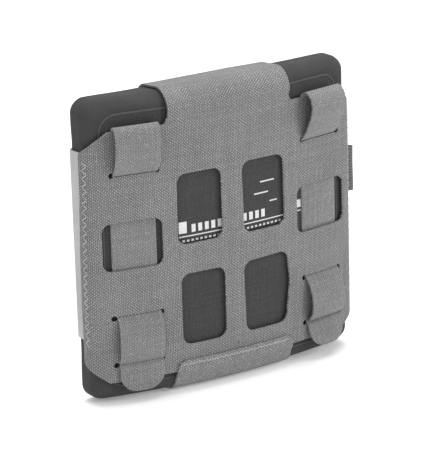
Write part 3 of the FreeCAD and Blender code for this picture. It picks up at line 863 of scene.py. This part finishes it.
def pouch_panel():
    """The laser-cut front sheet with its wings, and the flap that goes over the top."""
    arm = FLAP_HALF
    flap_end = flap_length(FLAP_BACK_END)
    wing_low, wing_high = u_at_y(wing_end(23.0)), u_at_y(wing_end(136.7))
    wing_mid = u_at_y(wing_end(85.0))
    half = [(73.8, 12.6), (wing_low, 23.2), (wing_low + 0.3, 55.0), (wing_mid, 85.0),
            (wing_mid - 1.4, 112.0), (wing_high, 136.4), (69.7, SHOULDER), (arm + 1.6, SHOULDER),
            (arm, FLAP_FOLD + 1.0), (arm, flap_end)]
    radii = [4.0, 3.0, 0.0, 0.0, 0.0, 4.0, 3.5, 2.2, 1.6, 0.0]
    outline = half + [(-u, v) for u, v in reversed(half)]
    outline = rounded_outline(outline, radii + radii[::-1], spacing=0.9)
    holes = []
    for window in (UPPER_LEFT_WINDOW, UPPER_RIGHT_WINDOW, LOWER_LEFT_WINDOW, LOWER_RIGHT_WINDOW):
        holes.append(rounded_outline(window, 5.2, 0.7))
    for name, (u0, u1) in GRID_WINDOW.items():
        z0 = FIRST_ROW + 2 * ROW
        holes.append(rounded_outline(rectangle(u0, u1, z0, z0 + ROW), 4.5, 0.7))
        for row, (u, half_length) in SLOTS[name].items():
            holes.append(slot_outline(u, FIRST_ROW + row * ROW, half_length))
    flat, faces = cut_sheet(outline, holes, 2.0)
    points = [panel_place(u, v) for u, v in flat]
    panel = add_mesh("pouch_panel", points, faces, flat)
    finish_sheet(panel, PANEL_THICKNESS, panel_cloth)
    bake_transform(panel)
    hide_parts("front_panel", "top_flap")


def flap_tail():
    """The flap's end, down the back, where it closes with hook and loop."""
    start, end = flap_length(FLAP_BACK_END), flap_length(tail_low.z / MM)
    outline = rounded_outline(rectangle(-FLAP_HALF, FLAP_HALF, start, end), [0, 0, 8, 8])
    flat, faces = cut_sheet(outline, [], 2.4)
    points = []
    for u, v in flat:
        x, y, z = flap_place(u, v)
        ripple = 0.25 * soft(u, v, 0.0, 26.0, 4.4) * ease(FLAP_BACK_END - z, 8.0, 24.0)
        points.append((x, y + ripple, z))
    tail = add_mesh("flap_tail_sheet", points, faces, flat)
    finish_sheet(tail, PANEL_THICKNESS, panel_cloth)
    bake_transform(tail)
    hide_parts("flap_tail")


# ---- back, gussets, bottom strap and patches ----

def back_sheet():
    low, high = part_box("back_panel")
    half = high.x / MM
    outline = rounded_outline(rectangle(-half, half, low.z / MM, high.z / MM), 3.0)
    flat, faces = cut_sheet(outline, [], 3.5)
    points = []
    for u, v in flat:
        wave = 0.22 * soft(u, v, 0.0, 34.0, 8.8) + 0.1 * soft(u, v, 0.0, 12.0, 2.8)
        points.append((u, HALF_DEPTH + BACK_MID + max(wave, -0.1) * 0.8, v))
    back = add_mesh("pouch_back", points, faces, flat)
    finish_sheet(back, 1.0, panel_cloth)
    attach(back, "pouch")
    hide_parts("back_panel")


def gusset(side, name):
    """The smooth elastic side band, from under the panel's edge round to the back."""
    low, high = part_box("side_gusset_" + name)
    z0, z1 = low.z / MM, high.z / MM
    start = u_at_y(-1.5)
    end = u_at_y(HALF_DEPTH - BACK_EDGE) + BACK_EDGE * 1.6 + 8.5
    columns, rows = 30, 60
    points, uvs = [], []
    for r in range(rows):
        z = z0 + (z1 - z0) * r / (rows - 1)
        for c in range(columns):
            u = start + (end - start) * c / (columns - 1)
            bow = 0.5 * math.sin(math.pi * (c / (columns - 1))) ** 2
            off = 0.75 + 0.1 * soft(u, z, 0.0, 20.0, 6.0 + side) + 0.25 * bow
            x, y = ring_point(side * u, off)[:2]
            inward = 0.6 * math.sin(math.pi * c / (columns - 1)) * (1 if r < rows / 2 else -1)
            pull = inward * math.exp(-(min(r, rows - 1 - r) / 6.0) ** 2)
            points.append((x, y, z + pull))
            uvs.append((u, z))
    band = add_mesh("gusset_" + name, points, grid_faces(rows, columns), uvs)
    finish_sheet(band, 0.9, gusset_cloth,
                 bevel=0.2)
    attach(band, "pouch")
    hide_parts("side_gusset_" + name)


LAP_FRONT_TOP = 18.2
LAP_HALF = 36.2


def bottom_lap(x):
    """The bottom strap's section at this x: down the front, under the plate and up the back."""
    front = front_y(x, 0.0)
    high_front = front - FRONT_LAP_MID
    wrap_front = front - WRAP_MID
    low = PLATE_BOTTOM - WRAP_MID
    back = HALF_DEPTH + WRAP_MID
    high_back = HALF_DEPTH + BACK_LAP_MID
    return [(high_front, LAP_FRONT_TOP), (high_front, 15.0), (high_front + 0.15, 12.6),
            (wrap_front - 0.4, 9.6), (wrap_front + 1.0, 6.0), (wrap_front + 3.1, 3.0),
            (wrap_front + 6.4, low + 0.75), (wrap_front + 10.0, low), (2.0, low), (6.6, low),
            (10.0, low + 1.0), (back - 0.9, low + 3.2), (back, low + 7.0), (back, 16.0),
            (back + 0.2, 21.0), (high_back, 25.5), (high_back, 34.0), (high_back, 44.6)]


def bottom_strap():
    """The strap under the plate, lapped over the panel in front and sewn."""
    columns = 37
    paths = []
    for c in range(columns):
        t = -1 + 2 * c / (columns - 1)
        path, s = smooth_path(bottom_lap(LAP_HALF * t), 1.6)
        paths.append((LAP_HALF * t, path, s))
    rows = 74
    points, uvs = [], []
    corner = 4.0
    for r in range(rows):
        for x, path, s in paths:
            total = s[-1]
            drop = max(0.0, abs(x) - (LAP_HALF - corner))
            trim = corner - math.sqrt(max(corner ** 2 - drop ** 2, 0.0))
            along = trim + (total - 2 * trim) * r / (rows - 1)
            y = np.interp(along, s, path[:, 0])
            z = np.interp(along, s, path[:, 1])
            if z > 4 and y < 0:
                y -= 0.12 * abs(soft(x, z, 0.0, 14.0, 2.2))
            points.append((x, y, z))
            uvs.append((x, along))
    strap = add_mesh("bottom_strap_sheet", points, grid_faces(rows, columns), uvs)
    finish_sheet(strap, 1.15, lap_cloth)
    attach(strap, "pouch")
    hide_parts("bottom_strap")


def tape(node, name, material, body, thickness, ripple):
    """A flat piece of tape on the back, where its CAD node lies."""
    low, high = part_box(node)
    x1, z0, z1 = high.x / MM, low.z / MM, high.z / MM
    middle = (low.y + high.y) / 2 / MM
    outline = rounded_outline(rectangle(-x1, x1, z0, z1), 3.0)
    flat, faces = cut_sheet(outline, [], 2.5)
    points = [(u, middle + ripple * soft(u, v, 0.0, 9.0, 3.3), v) for u, v in flat]
    piece = add_mesh(name, points, faces, flat)
    finish_sheet(piece, thickness, material)
    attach(piece, body)
    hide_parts(node)


# ---- attachment straps ----

HOLD = -PANEL_OUTER + STRAP_BEHIND     # height of the strap's middle when it is behind the panel
LEAN_LOW, LEAN_HIGH = 66.0, 104.0      # between these heights a strap runs at its middle axis
SLOT_1, SLOT_2, SLOT_3 = FIRST_ROW + 4 * ROW, FIRST_ROW + ROW, FIRST_ROW
MIDDLE_HEIGHT = {
    "left": [(-0.5, SHOULDER), (0.3, 147.8), (2.3, 148.7), (4.5, 147.5), (5.6, 144.6),
             (6.0, 140.5), (5.3, 134.5), (3.4, 128.6)],
    "right": [(-0.5, SHOULDER), (0.5, 147.9), (3.0, 149.2), (6.0, 147.9), (7.8, 144.8),
              (8.2, 140.8), (6.6, 135.2), (3.6, 129.2)]}
LOWER_RUN = {
    "left": [(2.1, 43.6), (2.9, 38.0), (2.9, 32.0), (2.0, 26.5), (0.8, 23.6), (-0.35, 22.1)],
    "right": [(2.2, 44.0), (4.0, 39.7), (5.1, 34.6), (5.2, 30.0), (3.6, 25.4), (1.0, 22.9),
              (-0.3, 21.9)]}
TAIL_RUN = {
    "left": [(0.75, 20.8), (0.95, 17.0), (1.1, 12.0), (0.95, 6.7)],
    "right": [(0.9, 20.6), (2.1, 17.0), (3.3, 12.5), (4.3, 8.0)]}


def strap_path(name):
    """The strap's middle as (height off the panel, z), from the panel's top edge to its end."""
    upper = MIDDLE_HEIGHT[name]
    through_1 = [(0.75, SLOT_1 + 1.3), (-0.5, SLOT_1), (HOLD, SLOT_1 - 1.7)]
    behind = [(HOLD, SLOT_1 - 8.0), (HOLD, 86.0), (HOLD, SLOT_2 + 8.0)]
    through_2 = [(HOLD, SLOT_2 + 1.7), (-0.5, SLOT_2), (0.75, SLOT_2 - 1.3)]
    return upper + through_1 + behind + through_2 + LOWER_RUN[name] + TAIL_RUN[name]


def attachment_strap(side, name):
    """A strap that folds over at the panel's top and weaves down through its slots."""
    path, s = smooth_path(strap_path(name), 0.55)
    total = s[-1]
    columns = 21
    half = STRAP_WIDTH / 2
    low_axis, x0, high_axis = STRAP_AXIS[name]
    turn = math.asin(x0 / (FRONT_RADIUS + PANEL_OUTER))
    outward = np.array((math.sin(turn), -math.cos(turn)))
    across = np.array((math.cos(turn), math.sin(turn)))
    origin = np.array((x0, front_y(x0, PANEL_OUTER)))
    round_end = 9.5
    points, uvs = [], []
    for (w, z), along in zip(path, s):
        left = total - along
        width = half
        if left < round_end:
            width = half - round_end + math.sqrt(max(round_end ** 2 - (round_end - left) ** 2, 0))
        for c in range(columns):
            t = -1 + 2 * c / (columns - 1)
            lean = (low_axis - x0) * (1 - ease(z, SLOT_2, LEAN_LOW))
            lean += (high_axis - x0) * ease(z, LEAN_HIGH, SLOT_1)
            a = width * t + lean
            curve = -a * a / (2 * (FRONT_RADIUS + PANEL_OUTER))
            sway = 0.3 * soft(a, along, 0.0, 22.0, 2.0 + side) * ease(w, 1.2, 4.0)
            cup = 0.3 * ease(w, 2.0, 6.0) * t ** 2
            height = w + curve * (1 - ease(w, 1.0, 4.0)) + sway - cup
            place = origin + across * a + outward * height
            points.append((place[0], place[1], z))
            uvs.append((x0 + a, SHOULDER + along))
    strap = add_mesh("strap_sheet_" + name, points, grid_faces(len(path), columns), uvs)
    finish_sheet(strap, STRAP_THICKNESS, strap_cloth)
    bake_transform(strap)
    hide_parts("strap_" + name, "strap_tail_" + name)


# ---- side webbing tab ----

def side_tab():
    """A folded loop of ribbed webbing, sewn on round the back edge."""
    low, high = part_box("side_webbing_tab")
    z0, z1 = low.z / MM, high.z / MM
    x0, x1 = low.x / MM, high.x / MM
    middle = (low.y + high.y) / 2 / MM
    path, s = smooth_path([(x0 + 0.9, middle - 0.75), (x0 + 3.0, middle - 0.8),
                           (x1 - 2.4, middle - 0.9), (x1 - 0.9, middle - 0.6),
                           (x1 - 0.5, middle), (x1 - 0.9, middle + 0.6),
                           (x1 - 2.4, middle + 0.9), (x0 + 3.0, middle + 0.8),
                           (x0 + 0.9, middle + 0.75)], 0.35)
    rows = 64
    points, uvs = [], []
    for r in range(rows):
        t = r / (rows - 1)
        z = z0 + (z1 - z0) * t
        rib = 0.07 * abs(math.sin(math.pi * (z - z0) / WEBBING_RIB))
        edge = 0.9 + 0.1 * math.sin(math.pi * min(t, 1 - t) * 6) if min(t, 1 - t) < 1 / 12 else 1
        for (x, y), along in zip(path, s):
            grow = (1 + rib) * edge
            lean = 0.5 * (x - x0) / (x1 - x0) * soft(0.0, z, x, 14.0, 1.2)
            points.append((x, middle + (y - middle) * grow + lean, z - 0.08 * (x - x0)))
            uvs.append((along, z))
    tab = add_mesh("webbing_tab_loop", points, grid_faces(rows, len(path)), uvs)
    finish_sheet(tab, 0.75, tab_cloth, bevel=0.15)
    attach(tab, "webbing_tab")
    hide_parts("side_webbing_tab")


def tab_base():
    low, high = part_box("side_tab_anchor")
    z0, z1 = low.z / MM, high.z / MM
    start = u_at_y(low.y / MM + 0.5)
    end = u_at_y(HALF_DEPTH - BACK_EDGE) + BACK_EDGE * 1.6 + 10.5
    columns, rows = 40, 52
    points, uvs = [], []
    for r in range(rows):
        z = z0 + (z1 - z0) * r / (rows - 1)
        rib = 0.1 * abs(math.sin(math.pi * (z - z0) / WEBBING_RIB))
        for c in range(columns):
            u = start + (end - start) * c / (columns - 1)
            x, y = ring_point(u, 1.85 + rib)[:2]
            points.append((x, y, z))
            uvs.append((u, z))
    base = add_mesh("tab_base", points, grid_faces(rows, columns), uvs)
    finish_sheet(base, 1.0, tab_cloth,
                 bevel=0.2)
    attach(base, "pouch")
    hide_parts("side_tab_anchor")


# ---- stitching ----

def stitch_row(name, places, normals, material, length, radius=0.28):
    """Threads lying along a line: each one dips into the cloth at both ends."""
    pieces = []
    places = [np.array(p, float) for p in places]
    gaps = [0.0]
    for a, b in zip(places, places[1:]):
        gaps.append(gaps[-1] + np.linalg.norm(b - a))
    table = np.array(places)
    bends = np.array(normals, float)
    pitch = length * 1.45
    count = max(1, int(gaps[-1] / pitch))
    first = (gaps[-1] - (count - 1) * pitch) / 2
    for i in range(count):
        path, way = [], []
        for k in range(7):
            t = -1 + 2 * k / 6
            at = first + i * pitch + t * length / 2
            p = np.array([np.interp(at, gaps, table[:, j]) for j in range(3)])
            n = np.array([np.interp(at, gaps, bends[:, j]) for j in range(3)])
            n /= np.linalg.norm(n)
            path.append(p + n * (radius * 0.75 * (1 - t ** 4) - THREAD_SINK - 0.25 * t ** 4))
            way.append(n)
        pieces.append(tube("stitch", path, radius, material, 0.8, sides=6, normals=way))
    return join(name, pieces)


def surface_line(uv_points, off):
    """Places and normals on the form along a line in (u, z)."""
    places, normals = [], []
    for (u0, z0), (u1, z1) in zip(uv_points, uv_points[1:]):
        steps = max(2, int(math.hypot(u1 - u0, z1 - z0) / 2))
        for k in range(steps):
            u = u0 + (u1 - u0) * k / steps
            z = z0 + (z1 - z0) * k / steps
            x, y, nx, ny = ring_point(u, off)
            places.append((x, y, z))
            normals.append((nx, ny, 0.0))
    return places, normals


def zigzag_stitches(name, corners, off, material, radius=0.24):
    """One thread for each leg of a zigzag, lying on the form."""
    pieces = []
    for (u0, z0), (u1, z1) in zip(corners, corners[1:]):
        path, way = [], []
        for k in range(6):
            t = k / 5
            u, z = u0 + (u1 - u0) * t, z0 + (z1 - z0) * t
            x, y, nx, ny = ring_point(u, off + 0.12 - 0.3 * (2 * t - 1) ** 4)
            path.append(np.array((x, y, z)))
            way.append((nx, ny, 0.0))
        pieces.append(tube("stitch", path, radius, material, 0.8, sides=6, normals=way))
    return join(name, pieces)


def finish_stitches(piece, body, node):
    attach(piece, body)
    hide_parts(node)


def all_stitching():
    for side, name in ((-1, "left"), (1, "right")):
        corners = []
        for k in range(46):
            z = 33.0 + 2.2 * k
            u = u_at_y(wing_end(z)) - 3.4 + (1.3 if k % 2 else -1.3)
            corners.append((side * u, z))
        row = zigzag_stitches("edge_stitches_" + name, corners, PANEL_OUTER, thread)
        finish_stitches(row, "pouch", "edge_stitching_" + name)
    lap_off = FRONT_LAP_MID + 0.55
    corners = [(-LAP_HALF + 3 + 1.5 * k, 16.2 + (0.55 if k % 2 else -0.55)) for k in range(45)]
    front_row = zigzag_stitches("lap_front", corners, lap_off, thread, radius=0.2)
    places, normals = surface_line([(0.6, 22.4), (0.6, 19.2)], PANEL_OUTER)
    centre_top = stitch_row("centre_top", places, normals, dark_thread, length=1.5, radius=0.22)
    row = join("bottom_strap_stitches", [front_row, centre_top])
    finish_stitches(row, "pouch", "bottom_strap_stitching")
    rows = []
    for z in (42.4, 26.8):
        places = [(x, HALF_DEPTH + BACK_LAP_MID + 0.58, z) for x in np.linspace(-33, 33, 12)]
        rows.append(stitch_row("back_row", places, [(0, 1, 0)] * 12, thread, length=2.2))
    finish_stitches(join("back_strap_stitches", rows), "pouch", "back_strap_stitching")
    low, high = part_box("flap_tail_stitching")
    rows = []
    for z in (low.z / MM + 0.3, high.z / MM - 0.3):
        places = [(x, HALF_DEPTH + TAIL_MID + 0.55, z) for x in np.linspace(-31, 31, 12)]
        rows.append(stitch_row("tail_row", places, [(0, 1, 0)] * 12, thread, length=2.2))
    finish_stitches(join("flap_tail_stitches", rows), "flap_tail", "flap_tail_stitching")
    low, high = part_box("tab_bartack")
    rows = []
    for x in (low.x / MM + 0.4, high.x / MM - 0.4):
        places = [(x, HALF_DEPTH + 2.38, z) for z in np.linspace(85.0, 108.4, 10)]
        rows.append(stitch_row("tack", places, [(0, 1, 0)] * 10, dark_thread, length=1.6))
    finish_stitches(join("tab_bartack_stitches", rows), "pouch", "tab_bartack")


# ---- print on the plate ----

def print_block(x0, x1, z0, z1):
    """One plain block of ink on the padded front."""
    columns = max(2, int((x1 - x0) / 1.5) + 1)
    points, uvs = [], []
    for lift in (-0.15, 0.06):
        for z in (z0, z1):
            for c in range(columns):
                x = x0 + (x1 - x0) * c / (columns - 1)
                y = front_y(x, 0.0)
                face = pillow(HALF_WIDTH / 2) + FILL_UNEVEN * fullness(x, y, z)
                points.append((x, y - face - lift, z))
                uvs.append((x, z))
    faces = []
    top = 2 * columns
    for c in range(columns - 1):
        a, b, d, e = c, c + 1, columns + c, columns + c + 1
        faces += [(a, d, e, b), (top + a, top + b, top + e, top + d),
                  (a, b, top + b, top + a), (d, top + d, top + e, e)]
    for c in (0, columns - 1):
        faces.append((c, top + c, top + columns + c, columns + c))
    block = add_mesh("block", points, faces, uvs, smooth=False)
    block.data.materials.append(ink)
    return block


def plate_print():
    """Generic print: plain bars over a rule, dashes under it and three short lines above."""
    blocks = [print_block(-31.4, -26.8, 86.4, 92.6)]
    x = -24.0
    while x < 22.0:
        blocks.append(print_block(x, x + 2.3, 86.4, 90.6))
        x += 3.9
    blocks.append(print_block(-31.4, 46.5, 84.3, 84.9))
    blocks.append(print_block(41.8, 46.2, 86.4, 90.6))
    for i in range(27):
        blocks.append(print_block(-29.5 + 2.6 * i, -28.1 + 2.6 * i, 81.6, 82.7))
    blocks.append(print_block(24.6, 29.4, 93.8, 94.5))
    blocks.append(print_block(14.6, 23.6, 99.2, 99.9))
    blocks.append(print_block(18.6, 27.6, 105.2, 105.9))
    art = join("plate_print", blocks)
    for polygon in art.data.polygons:
        polygon.use_smooth = False
    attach(art, "pouch")


# ---- studio ----

CAMERA_ANGLES = (-32.18, 17.41, -1.74)     # round from the front, up, and tilt, in degrees
CAMERA_TARGET = (-12.3, -14.6, 88.7)
CAMERA_DISTANCE = 1.3812                   # metres
CAMERA_LENS = 214.06


def add_camera():
    """A long lens, level with the photographer's eye: left of the front and a little above."""
    azimuth, elevation, roll = (math.radians(a) for a in CAMERA_ANGLES)
    target = Vector(CAMERA_TARGET) * MM
    back = Vector((math.sin(azimuth) * math.cos(elevation),
                   -math.cos(azimuth) * math.cos(elevation), math.sin(elevation)))
    right = Vector((0, 0, 1)).cross(back).normalized()
    up = back.cross(right)
    turned_right = right * math.cos(roll) + up * math.sin(roll)
    turned_up = up * math.cos(roll) - right * math.sin(roll)
    camera = bpy.data.objects.new("camera", bpy.data.cameras.new("camera"))
    camera.data.lens = CAMERA_LENS
    camera.data.sensor_width = 36.0
    camera.data.clip_start = 0.05
    camera.data.clip_end = 50.0
    rotation = Matrix((turned_right, turned_up, back)).transposed().to_4x4()
    camera.matrix_world = Matrix.Translation(target + back * CAMERA_DISTANCE) @ rotation
    bpy.context.scene.collection.objects.link(camera)
    bpy.context.scene.camera = camera


def area_light(name, place, target, size, power):
    data = bpy.data.lights.new(name, "AREA")
    data.shape = "RECTANGLE"
    data.size, data.size_y = size
    data.energy = power
    lamp = bpy.data.objects.new(name, data)
    lamp.location = place
    direction = Vector(target) - Vector(place)
    lamp.rotation_euler = direction.to_track_quat("-Z", "Y").to_euler()
    bpy.context.scene.collection.objects.link(lamp)


def studio():
    """A pale floor that curves up into a backdrop, under large soft lights."""
    width, depth = 7.0, 3.6
    profile = [(-3.0, 0.0), (depth - 1.2, 0.0)]
    for k in range(1, 13):
        a = k / 12 * math.pi / 2
        profile.append((depth - 1.2 + 1.2 * math.sin(a), 1.2 - 1.2 * math.cos(a)))
    profile.append((depth, 4.5))
    turn = math.radians(32.0)
    points = []
    for side in (-width / 2, width / 2):
        for along, height in profile:
            x = side * math.cos(turn) + along * math.sin(turn)
            y = -side * math.sin(turn) + along * math.cos(turn)
            points.append((x / MM, y / MM, height / MM))
    floor = add_mesh("floor", points, grid_faces(2, len(profile)))
    floor.data.materials.append(studio_paper("floor_paper", 0.9))
    world = bpy.data.worlds.new("studio")
    world.use_nodes = True
    sky = world.node_tree.nodes["Background"]
    sky.inputs[0].default_value = (1, 1, 1, 1)
    sky.inputs[1].default_value = 0.48
    bpy.context.scene.world = world
    middle = (0, 0, 0.08)
    area_light("key", (-1.1, -0.9, 1.5), middle, (0.9, 0.9), 5.0)
    area_light("fill", (1.0, -1.3, 0.9), middle, (0.7, 0.7), 11.0)
    area_light("top", (0.1, 0.2, 1.7), middle, (1.4, 1.2), 27.0)


def inner_materials():
    """Materials for the CAD's hidden layers of the plate."""
    for node, name, tone, warmth, cell in (("plate_core", "strike_tile", 0.62, 0.02, 0.4),
                                           ("plate_backer", "fibre_pack", 0.6, 0.05, 1.6),
                                           ("comfort_foam", "closed_cell_foam", 0.05, 0.0, 0.7)):
        n = Nodes(name)
        place = n.place()
        cells = n.add("TexVoronoi", {"Vector": place, "Scale": 1 / (cell * MM)})
        cloud = n.noise(place, 60.0, 3.0)
        shade = n.times(n.ramp(cells.outputs["Distance"], 0.0, 0.8, 1.08, 0.88),
                       n.ramp(cloud, 0.3, 0.7, 0.94, 1.06))
        n.tint(tone, shade, warmth)
        n.link(n.ramp(cloud, 0.3, 0.7, 0.85, 0.65), "Roughness")
        n.bump(cells.outputs["Distance"], 0.05 * MM)
        for slot in bpy.data.objects[node].material_slots:
            slot.material = n.material


def build():
    bpy.context.scene.view_settings.view_transform = "Standard"
    add_camera()
    inner_materials()
    plate_cover()
    plate_welt("plate_welt_front", "plate_seam_front", True)
    plate_welt("plate_welt_back", "plate_seam_back", False)
    plate_print()
    back_sheet()
    pouch_panel()
    flap_tail()
    bottom_strap()
    tape("back_loop_patch", "loop_tape_patch", loop_cloth, "pouch", 0.9, 0.05)
    tape("flap_hook_patch", "hook_tape_patch", hook_cloth, "flap_tail", 0.55, 0.03)
    tab_base()
    side_tab()
    for side, name in ((-1, "left"), (1, "right")):
        gusset(side, name)
        attachment_strap(side, name)
    all_stitching()
    studio()


build()
